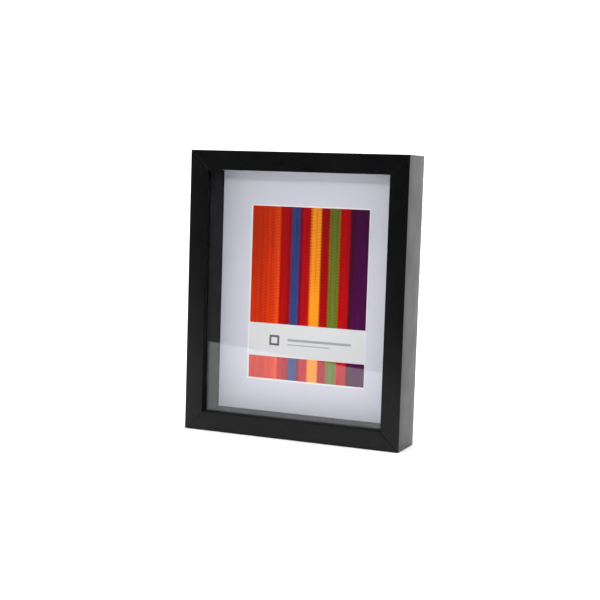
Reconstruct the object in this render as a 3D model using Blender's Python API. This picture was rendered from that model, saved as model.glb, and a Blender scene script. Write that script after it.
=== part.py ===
"""Deep wooden shadow box with a glass front and a matted print, as separate pieces.

The box stands on its bottom rail. The origin is the middle of that rail's underside,
the glass faces -Y, the back board faces +Y and +Z is up. All lengths are in metres.
"""
import math

import bmesh
import bpy
from mathutils import Vector

# The four outer rails.
WIDTH = 0.228
HEIGHT = 0.281
DEPTH = 0.045
FACE = 0.019            # front face, from the outer edge to the opening
WALL = 0.0115           # rail behind the lip
LIP = 0.005             # thickness of the lip that the glass lies against
EDGE_RADIUS = 0.0008    # softened outer edges
CORNER_STEPS = 4        # facets on each softened edge
GAP = 0.0003            # play between pieces that touch

# The stack that fills the rails from behind, each a thickness from front to back.
GLASS = 0.002
MAT = 0.0015
PRINT = 0.0004
FILLER = 0.0012
BACK_BOARD = 0.0025
STACK_GAPS = 7          # one in front of each of the six layers, and one behind the last
SPACER = DEPTH - LIP - GLASS - MAT - PRINT - FILLER - BACK_BOARD - STACK_GAPS * GAP

# The opening cut in the mat, measured at its rear edge.
WINDOW_WIDTH = 0.125
WINDOW_HEIGHT = 0.175
WINDOW_DROP = 0.0008    # the opening's middle is this far under the box's middle

# V-shaped nails across each mitre.
NAIL_LEG = 0.0065
NAIL_THICKNESS = 0.0006
NAIL_DEPTH = 0.010
NAIL_INSET = 0.004      # from the two outer faces to the V's point
NAIL_SUNK = 0.0002

# Turn buttons and the screws that they pivot on.
BUTTON_THICKNESS = 0.001
BUTTON_TAIL_RADIUS = 0.004
BUTTON_TIP_RADIUS = 0.0022
BUTTON_REACH = 0.014    # from the pivot to the tip
BUTTON_EDGE = 0.00025
SIDE_BUTTON_SPREAD = 0.085
SCREW_RADIUS = 0.00125
SCREW_HEAD_RADIUS = 0.00275
SCREW_HEAD_HEIGHT = 0.0016
SCREW_LENGTH = 0.0125   # from under the head to the point
RECESS_WIDTH = 0.0007
RECESS_SPAN = 0.003
RECESS_DEPTH = 0.001

# Triangle hangers on the back board.
RING_BASE = 0.022
RING_HEIGHT = 0.015
RING_CORNER = 0.0022
RING_WIRE = 0.0008      # radius of the wire
RING_LEAN = math.radians(12)
HANGER_INSET = 0.040    # from the outer edge of the box to the ring's axis
STRAP_WIDTH = 0.009
STRAP_SHEET = 0.0005
STRAP_LOWER_LEAF = 0.013
STRAP_UPPER_LEAF = 0.0122
RIVET_PLACE = 0.0095    # along the strap, from the ring's axis
RIVET_RADIUS = 0.0015
RIVET_HEAD_RADIUS = 0.0023
RIVET_HEAD_HEIGHT = 0.0007
RIVET_ROLL_RADIUS = 0.0023
RIVET_ROLL_HEIGHT = 0.0005
ROUND_SIDES = 20

FRONT = -DEPTH / 2
REAR = DEPTH / 2
GLASS_FRONT = FRONT + LIP + GAP
SPACER_FRONT = GLASS_FRONT + GLASS + GAP
MAT_FRONT = SPACER_FRONT + SPACER + GAP
PRINT_FRONT = MAT_FRONT + MAT + GAP
FILLER_FRONT = PRINT_FRONT + PRINT + GAP
BOARD_FRONT = FILLER_FRONT + FILLER + GAP
BOARD_REAR = BOARD_FRONT + BACK_BOARD
SHEET_WIDTH = WIDTH - 2 * (WALL + GAP)
SHEET_HEIGHT = HEIGHT - 2 * (WALL + GAP)
MIDDLE = HEIGHT / 2
STRAP_BOTTOM = BOARD_REAR + GAP
BEND_RADIUS = RING_WIRE + GAP + STRAP_SHEET / 2
AXIS_HEIGHT = BEND_RADIUS + STRAP_SHEET / 2    # ring's axis over the strap's underside


def clear_scene():
    for item in list(bpy.data.objects):
        bpy.data.objects.remove(item, do_unlink=True)


def finish(name, colour, roughness, metallic=0.0, alpha=1.0):
    """A plain surface: colour, roughness and metal for one kind of piece."""
    material = bpy.data.materials.new(name)
    material.use_nodes = True
    shader = material.node_tree.nodes["Principled BSDF"]
    shader.inputs["Base Color"].default_value = (*colour, 1.0)
    shader.inputs["Roughness"].default_value = roughness
    shader.inputs["Metallic"].default_value = metallic
    shader.inputs["Alpha"].default_value = alpha
    material.diffuse_color = (*colour, alpha)
    return material


def place(name, mesh, material, location=(0, 0, 0), turn=0.0, parent=None):
    """Puts a mesh in the scene, turned about Y, with its material."""
    item = bpy.data.objects.new(name, mesh)
    bpy.context.collection.objects.link(item)
    item.location = location
    item.rotation_euler = (0, turn, 0)
    item.parent = parent
    if material is not None:
        mesh.materials.clear()
        mesh.materials.append(material)
    return item


def mesh_from(name, build):
    """Runs a bmesh builder, faces the result outward and returns it as a mesh."""
    shape = bmesh.new()
    build(shape)
    bmesh.ops.recalc_face_normals(shape, faces=shape.faces)
    mesh = bpy.data.meshes.new(name)
    shape.to_mesh(mesh)
    shape.free()
    return mesh


def shade_round(mesh):
    mesh.shade_smooth()
    mesh.set_sharp_from_angle(angle=math.radians(35))


def cut(body, cutters):
    """Takes each closed cutter out of a body and then throws the cutters away."""
    for cutter in cutters:
        step = body.modifiers.new("cut", "BOOLEAN")
        step.operation = "DIFFERENCE"
        step.solver = "EXACT"
        step.object = cutter
    bpy.context.view_layer.update()
    evaluated = body.evaluated_get(bpy.context.evaluated_depsgraph_get())
    body_mesh = bpy.data.meshes.new_from_object(evaluated)
    body.modifiers.clear()
    body.data = body_mesh
    for cutter in cutters:
        bpy.data.objects.remove(cutter, do_unlink=True)
    return body_mesh


def quarter(centre_u, centre_v, start_degrees):
    """Points of a softened corner: a quarter circle from the start angle."""
    points = []
    for step in range(CORNER_STEPS + 1):
        angle = math.radians(start_degrees + 90 * step / CORNER_STEPS)
        points.append((centre_u + EDGE_RADIUS * math.cos(angle), centre_v + EDGE_RADIUS * math.sin(angle)))
    return points


def bridge_ends(shape, ends):
    """Fills two matching outlines and joins them with one face for each side."""
    near, far = [[shape.verts.new(point) for point in end] for end in ends]
    shape.faces.new(near)
    shape.faces.new(far)
    for index in range(len(near)):
        following = (index + 1) % len(near)
        shape.faces.new((near[index], near[following], far[following], far[index]))


def extrusion(name, outline, start, end):
    """A prism on an outline of (x, z) points, running along Y from start to end."""
    def build(shape):
        bridge_ends(shape, [[(x, y, z) for x, z in outline] for y in (start, end)])
    return mesh_from(name, build)


def turned(name, profile):
    """A turned solid about the Y axis from (radius, y) points that start and end on it."""
    def build(shape):
        ring = [shape.verts.new((radius, y, 0)) for radius, y in profile]
        edges = [shape.edges.new(pair) for pair in zip(ring, ring[1:])]
        bmesh.ops.spin(shape, geom=ring + edges, cent=(0, 0, 0), axis=(0, 1, 0),
                       angle=2 * math.pi, steps=ROUND_SIDES, use_merge=True)
        bmesh.ops.remove_doubles(shape, verts=shape.verts, dist=1e-6)
    mesh = mesh_from(name, build)
    shade_round(mesh)
    return mesh


def box(name, low, high):
    """A rectangular solid between two opposite corners."""
    outline = [(low[0], low[2]), (high[0], low[2]), (high[0], high[2]), (low[0], high[2])]
    return extrusion(name, outline, low[1], high[1])


def rail_section():
    """The rail's L section as (distance from the outer face, y) points."""
    outer_front = quarter(EDGE_RADIUS, FRONT + EDGE_RADIUS, 180)
    inner_front = quarter(FACE - EDGE_RADIUS, FRONT + EDGE_RADIUS, 270)
    rabbet = [(FACE, FRONT + LIP), (WALL, FRONT + LIP), (WALL, REAR)]
    outer_rear = quarter(EDGE_RADIUS, REAR - EDGE_RADIUS, 90)
    return outer_front + inner_front + rabbet + outer_rear


def mitred_rail(name, length):
    """A rail along X whose outer face is at z = 0, with both ends cut at 45 degrees."""
    section = rail_section()
    play = GAP / math.sqrt(2)

    def build(shape):
        bridge_ends(shape, [[(side * (length / 2 - u - play), y, u) for u, y in section] for side in (-1, 1)])
    return mesh_from(name, build)


def nail_outline(grow=0.0):
    """The V nail seen from behind: two legs along +X and +Z from the point."""
    low = -NAIL_THICKNESS / 2 - grow
    high = NAIL_THICKNESS / 2 + grow
    tip = NAIL_LEG + grow
    return [(low, low), (tip, low), (tip, high), (high, high), (high, tip), (low, tip)]


def frame_corners():
    """Name, place and turn of the four mitred corners, one for each V nail."""
    left = -WIDTH / 2 + NAIL_INSET
    top = HEIGHT - NAIL_INSET
    return [("bottom_left", (left, 0, NAIL_INSET), 0.0),
            ("bottom_right", (-left, 0, NAIL_INSET), -math.pi / 2),
            ("top_right", (-left, 0, top), math.pi),
            ("top_left", (left, 0, top), math.pi / 2)]


def button_places():
    """Name, pivot and turn of the turn buttons, released and lying along their rails."""
    mid_wall = WALL / 2
    side = WIDTH / 2 - mid_wall
    upper = MIDDLE + SIDE_BUTTON_SPREAD
    lower = MIDDLE - SIDE_BUTTON_SPREAD
    down = math.pi / 2
    return [("left_upper", (-side, REAR, upper), down),
            ("left_lower", (-side, REAR, lower), down),
            ("right_upper", (side, REAR, upper), down),
            ("right_lower", (side, REAR, lower), down),
            ("top", (0, REAR, HEIGHT - mid_wall), 0.0),
            ("bottom", (0, REAR, mid_wall), 0.0)]


def screw_hole_cutter(location):
    """Clearance for one pivot screw, from its point out past the turn button."""
    radius = SCREW_RADIUS + GAP
    outer_end = 2 * GAP + BUTTON_THICKNESS
    inner_end = outer_end - SCREW_LENGTH - GAP
    mesh = turned("screw_hole", [(0, inner_end), (radius, inner_end), (radius, outer_end), (0, outer_end)])
    return place("screw_hole", mesh, None, location)


def make_rails(material):
    """Four mitred rails, slotted for the V nails and drilled for the pivot screws."""
    layout = [("rail_bottom", WIDTH, (0, 0, 0), 0.0),
              ("rail_top", WIDTH, (0, 0, HEIGHT), math.pi),
              ("rail_left", HEIGHT, (-WIDTH / 2, 0, MIDDLE), math.pi / 2),
              ("rail_right", HEIGHT, (WIDTH / 2, 0, MIDDLE), -math.pi / 2)]
    for name, length, location, turn in layout:
        side = name.split("_")[1]
        rail = place(name, mitred_rail(name, length), material, location, turn)
        cutters = []
        for corner, nail_place, nail_turn in frame_corners():
            if side in corner:
                slot = extrusion("nail_slot", nail_outline(GAP), REAR - NAIL_SUNK - NAIL_DEPTH - GAP, REAR + GAP)
                cutters.append(place("nail_slot", slot, None, nail_place, nail_turn))
        for button, pivot, _ in button_places():
            if button.startswith(side):
                cutters.append(screw_hole_cutter(pivot))
        cut(rail, cutters)


def make_nails(material):
    """One V nail across each mitre, driven in from behind."""
    for corner, location, turn in frame_corners():
        name = "v_nail_" + corner
        mesh = extrusion(name, nail_outline(), REAR - NAIL_SUNK - NAIL_DEPTH, REAR - NAIL_SUNK)
        place(name, mesh, material, location, turn)


def sheet(name, front, thickness, material):
    """A flat sheet that fills the space behind the lip."""
    low = (-SHEET_WIDTH / 2, front, MIDDLE - SHEET_HEIGHT / 2)
    high = (SHEET_WIDTH / 2, front + thickness, MIDDLE + SHEET_HEIGHT / 2)
    return place(name, box(name, low, high), material)


def make_spacers(material):
    """Four strips that hold the mat away from the glass and line the box."""
    rear = SPACER_FRONT + SPACER
    outer_x = SHEET_WIDTH / 2
    inner_x = WIDTH / 2 - FACE
    low_outer = MIDDLE - SHEET_HEIGHT / 2
    high_outer = MIDDLE + SHEET_HEIGHT / 2
    low_inner = FACE
    high_inner = HEIGHT - FACE
    strips = {
        "spacer_bottom": ((-outer_x, low_outer), (outer_x, low_inner)),
        "spacer_top": ((-outer_x, high_inner), (outer_x, high_outer)),
        "spacer_left": ((-outer_x, low_inner + GAP), (-inner_x, high_inner - GAP)),
        "spacer_right": ((inner_x, low_inner + GAP), (outer_x, high_inner - GAP)),
    }
    for name, (low, high) in strips.items():
        mesh = box(name, (low[0], SPACER_FRONT, low[1]), (high[0], rear, high[1]))
        place(name, mesh, material)


def make_mat(material):
    """The mat: a sheet whose opening is cut with a 45 degree bevel, wider at the front."""
    middle = MIDDLE - WINDOW_DROP
    rear = MAT_FRONT + MAT
    loops = [(SHEET_WIDTH / 2, SHEET_HEIGHT / 2, MAT_FRONT, MIDDLE),
             (SHEET_WIDTH / 2, SHEET_HEIGHT / 2, rear, MIDDLE),
             (WINDOW_WIDTH / 2, WINDOW_HEIGHT / 2, rear, middle),
             (WINDOW_WIDTH / 2 + MAT, WINDOW_HEIGHT / 2 + MAT, MAT_FRONT, middle)]

    def build(shape):
        rings = []
        for half_width, half_height, y, centre in loops:
            corners = [(-1, -1), (1, -1), (1, 1), (-1, 1)]
            rings.append([shape.verts.new((a * half_width, y, centre + b * half_height)) for a, b in corners])
        for ring, following in zip(rings, rings[1:] + rings[:1]):
            for index in range(4):
                after = (index + 1) % 4
                shape.faces.new((ring[index], ring[after], following[after], following[index]))
    place("mat_board", mesh_from("mat_board", build), material)


def button_outline():
    """The turn button's outline: a large round tail and a small round tip, joined by tangents."""
    distance = BUTTON_REACH - BUTTON_TIP_RADIUS
    tangent = math.acos((BUTTON_TAIL_RADIUS - BUTTON_TIP_RADIUS) / distance)
    points = []
    for step in range(13):
        angle = tangent + (2 * math.pi - 2 * tangent) * step / 12
        points.append((BUTTON_TAIL_RADIUS * math.cos(angle), BUTTON_TAIL_RADIUS * math.sin(angle)))
    for step in range(9):
        angle = -tangent + 2 * tangent * step / 8
        points.append((distance + BUTTON_TIP_RADIUS * math.cos(angle), BUTTON_TIP_RADIUS * math.sin(angle)))
    return points


def make_turn_buttons(material):
    """Pressed steel turn buttons, each with its origin on its own screw's axis."""
    outline = button_outline()

    def build(shape):
        bridge_ends(shape, [[(x, y, z) for x, z in outline] for y in (GAP, GAP + BUTTON_THICKNESS)])
        rims = [edge for edge in shape.edges if edge.verts[0].co.y == edge.verts[1].co.y]
        bmesh.ops.bevel(shape, geom=rims, offset=BUTTON_EDGE, segments=2, profile=0.5, affect="EDGES")

    pattern = place("turn_button", mesh_from("turn_button", build), material)
    mesh = cut(pattern, [screw_hole_cutter((0, 0, 0))])
    shade_round(mesh)
    bpy.data.objects.remove(pattern, do_unlink=True)
    for name, pivot, turn in button_places():
        place("turn_button_" + name, mesh, material, pivot, turn)


def make_pivot_screws(material):
    """Cross-recess screws; each head keeps a turn button on its rail."""
    under_head = 2 * GAP + BUTTON_THICKNESS
    top = under_head + SCREW_HEAD_HEIGHT
    point = under_head - SCREW_LENGTH
    profile = [(0, point), (SCREW_RADIUS, point + 2 * SCREW_RADIUS), (SCREW_RADIUS, under_head),
               (SCREW_HEAD_RADIUS, under_head), (SCREW_HEAD_RADIUS, under_head + 0.4 * SCREW_HEAD_HEIGHT),
               (0.85 * SCREW_HEAD_RADIUS, under_head + 0.8 * SCREW_HEAD_HEIGHT),
               (0.5 * SCREW_HEAD_RADIUS, top), (0, top)]
    pattern = place("pivot_screw", turned("pivot_screw", profile), material)
    half_width = RECESS_WIDTH / 2
    half_span = RECESS_SPAN / 2
    cross = [(half_width, half_width), (half_span, half_width), (half_span, -half_width), (half_width, -half_width),
             (half_width, -half_span), (-half_width, -half_span), (-half_width, -half_width),
             (-half_span, -half_width), (-half_span, half_width), (-half_width, half_width),
             (-half_width, half_span), (half_width, half_span)]
    recess = place("recess", extrusion("recess", cross, top - RECESS_DEPTH, top + RECESS_DEPTH), None)
    mesh = cut(pattern, [recess])
    shade_round(mesh)
    bpy.data.objects.remove(pattern, do_unlink=True)
    for index, (name, pivot, _) in enumerate(button_places()):
        place("pivot_screw_" + name, mesh, material, pivot, math.radians(25 * index))


def hanger_frames():
    """Name, place and turn of the two hangers; each strap runs along its own -Z."""
    y = STRAP_BOTTOM + AXIS_HEIGHT
    return [("portrait", (0, y, HEIGHT - HANGER_INSET), 0.0),
            ("landscape", (WIDTH / 2 - HANGER_INSET, y, MIDDLE), math.pi / 2)]


def strap_path():
    """Middle of the folded strap sheet as (y, z): lower leaf, loop round the wire, upper leaf."""
    lower = -BEND_RADIUS
    upper = lower + STRAP_SHEET + GAP
    last = math.radians(220)
    points = [(lower, -STRAP_LOWER_LEAF)]
    for step in range(15):
        angle = last * step / 14
        points.append((-BEND_RADIUS * math.cos(angle), BEND_RADIUS * math.sin(angle)))
    loop_y, loop_z = points[-1]
    points.append((upper, loop_z + (loop_y - upper) * math.cos(last) / -math.sin(last)))
    points.append((upper, -STRAP_UPPER_LEAF))
    return points


def thickened(path, thickness):
    """Closed outline of a sheet of even thickness that follows an open path."""
    points = [Vector(point) for point in path]
    sides = []
    for index, point in enumerate(points):
        before = (point - points[index - 1]).normalized() if index else None
        after = (points[index + 1] - point).normalized() if index + 1 < len(points) else None
        incoming = before or after
        outgoing = after or before
        middle = (incoming + outgoing).normalized()
        normal = Vector((-middle.y, middle.x))
        reach = thickness / 2 / max(middle.dot(outgoing), 0.5)
        sides.append((point + normal * reach, point - normal * reach))
    return [left for left, _ in sides] + [right for _, right in reversed(sides)]


def hole_cutter(name, profile, anchor):
    """A turned cutter on the rivet's axis of one hanger."""
    return place(name, turned(name, profile), None, (0, 0, -RIVET_PLACE), 0.0, anchor)


def make_back_board(material):
    """The back board, drilled and counterbored for the two hanger rivets."""
    board = sheet("back_board", BOARD_FRONT, BACK_BOARD, material)
    front = BOARD_FRONT - STRAP_BOTTOM - AXIS_HEIGHT
    outside = front - 10 * GAP
    floor = front + RIVET_ROLL_HEIGHT + 2 * GAP
    shank = RIVET_RADIUS + GAP
    counterbore = RIVET_ROLL_RADIUS + GAP
    profile = [(0, outside), (counterbore, outside), (counterbore, floor), (shank, floor), (shank, 0), (0, 0)]
    anchors = []
    cutters = []
    for name, location, turn in hanger_frames():
        anchor = bpy.data.objects.new("hanger_" + name, None)
        bpy.context.collection.objects.link(anchor)
        anchor.location = location
        anchor.rotation_euler = (0, turn, 0)
        anchors.append(anchor)
        cutters.append(hole_cutter("board_hole", profile, anchor))
    cut(board, cutters)
    return anchors


def make_straps(anchors, material):
    """Folded steel straps that hold the ring's base and are riveted through both leaves."""
    outline = thickened(strap_path(), STRAP_SHEET)

    def build(shape):
        bridge_ends(shape, [[(x, y, z) for y, z in outline] for x in (-STRAP_WIDTH / 2, STRAP_WIDTH / 2)])

    shank = RIVET_RADIUS + GAP
    profile = [(0, -2 * AXIS_HEIGHT), (shank, -2 * AXIS_HEIGHT), (shank, AXIS_HEIGHT), (0, AXIS_HEIGHT)]
    for anchor in anchors:
        name = anchor.name + "_strap"
        strap = place(name, mesh_from(name, build), material, parent=anchor)
        cut(strap, [hole_cutter("strap_hole", profile, anchor)])
        shade_round(strap.data)


def make_rivets(anchors, material):
    """Rivets with a domed head on the strap and a rolled end sunk in the board."""
    head_under = -BEND_RADIUS + STRAP_SHEET + GAP + STRAP_SHEET / 2 + GAP
    head_top = head_under + RIVET_HEAD_HEIGHT
    roll_end = BOARD_FRONT - STRAP_BOTTOM - AXIS_HEIGHT + GAP
    roll_top = roll_end + RIVET_ROLL_HEIGHT
    profile = [(0, roll_end), (RIVET_ROLL_RADIUS, roll_end), (RIVET_ROLL_RADIUS, roll_top),
               (RIVET_RADIUS, roll_top), (RIVET_RADIUS, head_under), (RIVET_HEAD_RADIUS, head_under)]
    for step in range(1, 5):
        angle = math.radians(90 * step / 4)
        profile.append((RIVET_HEAD_RADIUS * math.cos(angle), head_under + RIVET_HEAD_HEIGHT * math.sin(angle)))
    profile[-1] = (0, head_top)
    for anchor in anchors:
        name = anchor.name + "_rivet"
        place(name, turned(name, profile), material, (0, 0, -RIVET_PLACE), 0.0, anchor)


def ring_path():
    """Wire path of a triangle ring: base on the X axis, round corners, apex down."""
    corners = [Vector((-RING_BASE / 2, 0)), Vector((0, -RING_HEIGHT)), Vector((RING_BASE / 2, 0))]
    points = []
    for index, corner in enumerate(corners):
        before = (corners[index - 1] - corner).normalized()
        after = (corners[(index + 1) % 3] - corner).normalized()
        half = before.angle(after) / 2
        centre = corner + (before + after).normalized() * (RING_CORNER / math.sin(half))
        first = corner + before * (RING_CORNER / math.tan(half)) - centre
        last = corner + after * (RING_CORNER / math.tan(half)) - centre
        for step in range(7):
            points.append(centre + first.slerp(last, step / 6) * RING_CORNER)
    return points


def make_rings(anchors, material):
    """Triangle rings of bent wire, hanging folded over their straps."""
    for anchor in anchors:
        name = anchor.name + "_ring"
        curve = bpy.data.curves.new(name, "CURVE")
        curve.dimensions = "3D"
        curve.bevel_depth = RING_WIRE
        curve.bevel_resolution = 2
        points = ring_path()
        spline = curve.splines.new("POLY")
        spline.points.add(len(points) - 1)
        for point, place_2d in zip(spline.points, points):
            point.co = (place_2d.x, 0, place_2d.y, 1)
        spline.use_cyclic_u = True
        curve.materials.append(material)
        ring = bpy.data.objects.new(name, curve)
        bpy.context.collection.objects.link(ring)
        ring.parent = anchor
        ring.rotation_euler = (RING_LEAN, 0, 0)


clear_scene()
make_rails(finish("black foil", (0.012, 0.012, 0.013), 0.32))
make_nails(finish("nail steel", (0.42, 0.42, 0.43), 0.4, 1.0))
sheet("glass_pane", GLASS_FRONT, GLASS, finish("clear glass", (0.86, 0.92, 0.90), 0.03, 0.0, 0.25))
make_spacers(finish("black spacer", (0.016, 0.016, 0.018), 0.5))
make_mat(finish("white mat", (0.78, 0.78, 0.80), 0.85))
sheet("insert_print", PRINT_FRONT, PRINT, finish("striped print", (0.62, 0.10, 0.04), 0.6))
sheet("filler_card", FILLER_FRONT, FILLER, finish("grey card", (0.42, 0.40, 0.37), 0.9))
hanger_anchors = make_back_board(finish("brown board", (0.23, 0.14, 0.08), 0.8))
make_turn_buttons(finish("button steel", (0.62, 0.60, 0.55), 0.35, 1.0))
make_pivot_screws(finish("screw steel", (0.66, 0.65, 0.62), 0.3, 1.0))
make_straps(hanger_anchors, finish("strap steel", (0.60, 0.60, 0.60), 0.35, 1.0))
make_rivets(hanger_anchors, finish("rivet steel", (0.70, 0.70, 0.70), 0.3, 1.0))
make_rings(hanger_anchors, finish("ring wire", (0.70, 0.70, 0.70), 0.25, 1.0))
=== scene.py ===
import math

import bmesh
import bpy
import numpy as np
from mathutils import Matrix, Vector


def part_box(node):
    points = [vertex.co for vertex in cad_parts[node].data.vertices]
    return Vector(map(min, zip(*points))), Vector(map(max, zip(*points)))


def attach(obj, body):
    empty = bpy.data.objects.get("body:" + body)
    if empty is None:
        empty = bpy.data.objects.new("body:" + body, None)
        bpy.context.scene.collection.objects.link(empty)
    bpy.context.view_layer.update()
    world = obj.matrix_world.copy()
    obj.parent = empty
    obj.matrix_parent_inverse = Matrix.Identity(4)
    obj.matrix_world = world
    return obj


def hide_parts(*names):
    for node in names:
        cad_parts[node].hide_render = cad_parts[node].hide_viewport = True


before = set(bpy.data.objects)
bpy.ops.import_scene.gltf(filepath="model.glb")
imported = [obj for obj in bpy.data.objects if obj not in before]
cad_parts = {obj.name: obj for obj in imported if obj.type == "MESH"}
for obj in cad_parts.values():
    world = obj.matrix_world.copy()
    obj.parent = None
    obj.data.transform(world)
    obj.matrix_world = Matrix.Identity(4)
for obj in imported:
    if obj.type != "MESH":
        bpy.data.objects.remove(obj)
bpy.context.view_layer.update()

# ---------------------------------------------------------------------------------------
# Rails: four lengths of fibreboard moulding with a front lip, mitred and glued. Black foil
# is wrapped round the face and the outer side and lapped over onto the back edge, and the
# rest of the back and the rabbet are left as bare brown board.
# ---------------------------------------------------------------------------------------

class Wire:
    """A shader socket that can be used in sums: each operator adds one Math node."""

    def __init__(self, tree, socket=None):
        self.tree = tree
        self.socket = socket

    def node(self, kind, settings=None, inputs=None, output=0):
        """Adds a node, makes its settings, fills its sockets and returns one output."""
        made = self.tree.nodes.new(kind)
        for name, value in (settings or {}).items():
            if name == "stops":
                ramp = made.color_ramp.elements
                while len(ramp) < len(value):
                    ramp.new(0.5)
                for element, (position, colour) in zip(ramp, value):
                    element.position = position
                    element.color = (*colour, 1.0)
            else:
                setattr(made, name, value)
        for name, value in (inputs or {}).items():
            if isinstance(value, Wire):
                self.tree.links.new(value.socket, made.inputs[name])
            else:
                made.inputs[name].default_value = value
        return Wire(self.tree, made.outputs[output])

    def other(self, output):
        """Another output of the node that this socket belongs to."""
        return Wire(self.tree, self.socket.node.outputs[output])

    def sum_node(self, operation, *values):
        """Adds one Math node on values or links."""
        return self.node("ShaderNodeMath", {"operation": operation}, dict(enumerate(values)))

    def __add__(self, other):
        return self.sum_node("ADD", self, other)

    def __sub__(self, other):
        return self.sum_node("SUBTRACT", self, other)

    def __rsub__(self, other):
        return self.sum_node("SUBTRACT", other, self)

    def __mul__(self, other):
        return self.sum_node("MULTIPLY", self, other)

    def __truediv__(self, other):
        return self.sum_node("DIVIDE", self, other)

    def __pow__(self, other):
        return self.sum_node("POWER", self, other)

    def __lt__(self, other):
        return self.sum_node("LESS_THAN", self, other)

    def __gt__(self, other):
        return self.sum_node("GREATER_THAN", self, other)

    __radd__ = __add__
    __rmul__ = __mul__


def new_finish(name):
    """An empty material and a Wire to grow its nodes from."""
    material = bpy.data.materials.new(name)
    material.use_nodes = True
    material.node_tree.nodes.clear()
    return material, Wire(material.node_tree)


def show(wire):
    """Sends a shader to the material's output."""
    output = wire.tree.nodes.new("ShaderNodeOutputMaterial")
    wire.tree.links.new(wire.socket, output.inputs["Surface"])


def layered(wire, under, over):
    """Mixes two colours by a value from 0, the one under, to 1; either may be a link."""
    colours = {"Factor": wire}
    for place, colour in ((6, under), (7, over)):
        colours[place] = colour if isinstance(colour, Wire) else (*colour, 1.0)
    return wire.node("ShaderNodeMix", {"data_type": "RGBA"}, colours, 2)


def stretched(wire, point, factors):
    """Scales a point's three coordinates."""
    return wire.node("ShaderNodeVectorMath", {"operation": "MULTIPLY"}, {0: point, 1: factors})


def mottle(wire, point, scale, detail=3.0, roughness=0.5):
    """Fractal noise from 0 to 1 at a point; scale is in patches a metre."""
    sockets = {"Vector": point, "Scale": scale, "Detail": detail, "Roughness": roughness}
    return wire.node("ShaderNodeTexNoise", None, sockets)


def ramped(wire, low, high, start=0.0, end=1.0):
    """Runs from start to end as the value runs smoothly from low to high."""
    sockets = {"Value": wire, "From Min": low, "From Max": high, "To Min": start, "To Max": end}
    return wire.node("ShaderNodeMapRange", {"interpolation_type": "SMOOTHSTEP"}, sockets)


def relief(wire, depth, strength=1.0):
    """A bump whose height runs from 0 to a depth in metres."""
    return wire.node("ShaderNodeBump", None, {"Height": wire, "Distance": depth, "Strength": strength})


def grid_faces(rows, columns, wrap_rows):
    """Quads between neighbours of a grid whose columns run round it, and whose rows may too."""
    row = np.arange(rows if wrap_rows else rows - 1)[:, None]
    column = np.arange(columns)[None, :]
    next_column = (column + 1) % columns
    this_row, next_row = row * columns, (row + 1) % rows * columns
    corners = [this_row + column, this_row + next_column, next_row + next_column, next_row + column]
    return np.stack(np.broadcast_arrays(*corners), -1).reshape(-1, 4)


def solid(name, grid, finishes, closed_rows=False, sharp=30.0, masks=None, second=()):
    """A closed object from a grid of points, rows x columns x 3, whose columns run round it.
    Its two end rows are filled, unless the rows run round too. masks are named values on points,
    and second lists the columns whose faces take the second finish."""
    rows, columns = grid.shape[:2]
    faces = grid_faces(rows, columns, closed_rows).tolist()
    if not closed_rows:
        faces += [list(range(columns)), list(range((rows - 1) * columns, rows * columns))]
    mesh = bpy.data.meshes.new(name)
    mesh.from_pydata(grid.reshape(-1, 3), [], faces)
    shape = bmesh.new()
    shape.from_mesh(mesh)
    bmesh.ops.recalc_face_normals(shape, faces=shape.faces)
    shape.to_mesh(mesh)
    shape.free()
    for mask, values in (masks or {}).items():
        kind = "FLOAT_VECTOR" if np.ndim(values) == 3 else "FLOAT"
        field = "vector" if kind == "FLOAT_VECTOR" else "value"
        layer = mesh.attributes.new(mask, kind, "POINT")
        layer.data.foreach_set(field, np.ascontiguousarray(values, np.float32).ravel())
    for finish in finishes:
        mesh.materials.append(finish)
    if len(second):
        chosen = np.zeros(len(mesh.polygons), np.int32)
        columns_in_order = np.tile(np.arange(columns), rows - 1)
        chosen[:len(columns_in_order)] = np.isin(columns_in_order, second)
        mesh.polygons.foreach_set("material_index", chosen)
    mesh.shade_smooth()
    mesh.set_sharp_from_angle(angle=math.radians(sharp))
    made = bpy.data.objects.new(name, mesh)
    bpy.context.scene.collection.objects.link(made)
    return made


def arc(centre, radius, start, sweep, steps):
    """Points on part of a circle; the angles are in degrees."""
    angles = np.radians(start + sweep * np.linspace(0, 1, steps))
    return np.column_stack([centre[0] + radius * np.cos(angles), centre[1] + radius * np.sin(angles)])


def black_foil_finish():
    """Satin black foil with a fine grain along the rail; bare fibreboard where foil is 0."""
    finish, wire = new_finish("satin_black_foil")
    lay = wire.node("ShaderNodeAttribute", {"attribute_name": "lay"}, None, 1)
    wrapped = wire.node("ShaderNodeAttribute", {"attribute_name": "foil"}, None, 2)
    grain = mottle(wire, stretched(wire, lay, (60.0, 2600.0, 1.0)), 1.0, 4.0)
    orange_peel = mottle(wire, stretched(wire, lay, (700.0, 900.0, 1.0)), 1.0, 2.0)
    handling = mottle(wire, stretched(wire, lay, (22.0, 30.0, 1.0)), 1.0, 5.0, 0.6)
    fibres = mottle(wire, stretched(wire, lay, (900.0, 2400.0, 1.0)), 1.0, 6.0, 0.65)
    black = layered(grain, (0.0016, 0.0016, 0.0019), (0.0034, 0.0034, 0.0039))
    brown = layered(ramped(fibres, 0.3, 0.7), (0.19, 0.115, 0.062), (0.36, 0.245, 0.145))
    gloss = ramped(handling, 0.30, 0.72, 0.27, 0.37) + ramped(grain, 0.35, 0.65, -0.02, 0.03)
    height = (grain * 0.35 + orange_peel * 0.65) * wrapped + fibres * 3.0 * (1.0 - wrapped)
    shader = wire.node("ShaderNodeBsdfPrincipled", None, {
        "Base Color": layered(wrapped, brown, black),
        "Roughness": gloss * wrapped + 0.86 * (1.0 - wrapped),
        "Specular IOR Level": 0.22,
        "Normal": relief(height, 0.00002),
    })
    show(shader)
    return finish


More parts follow.
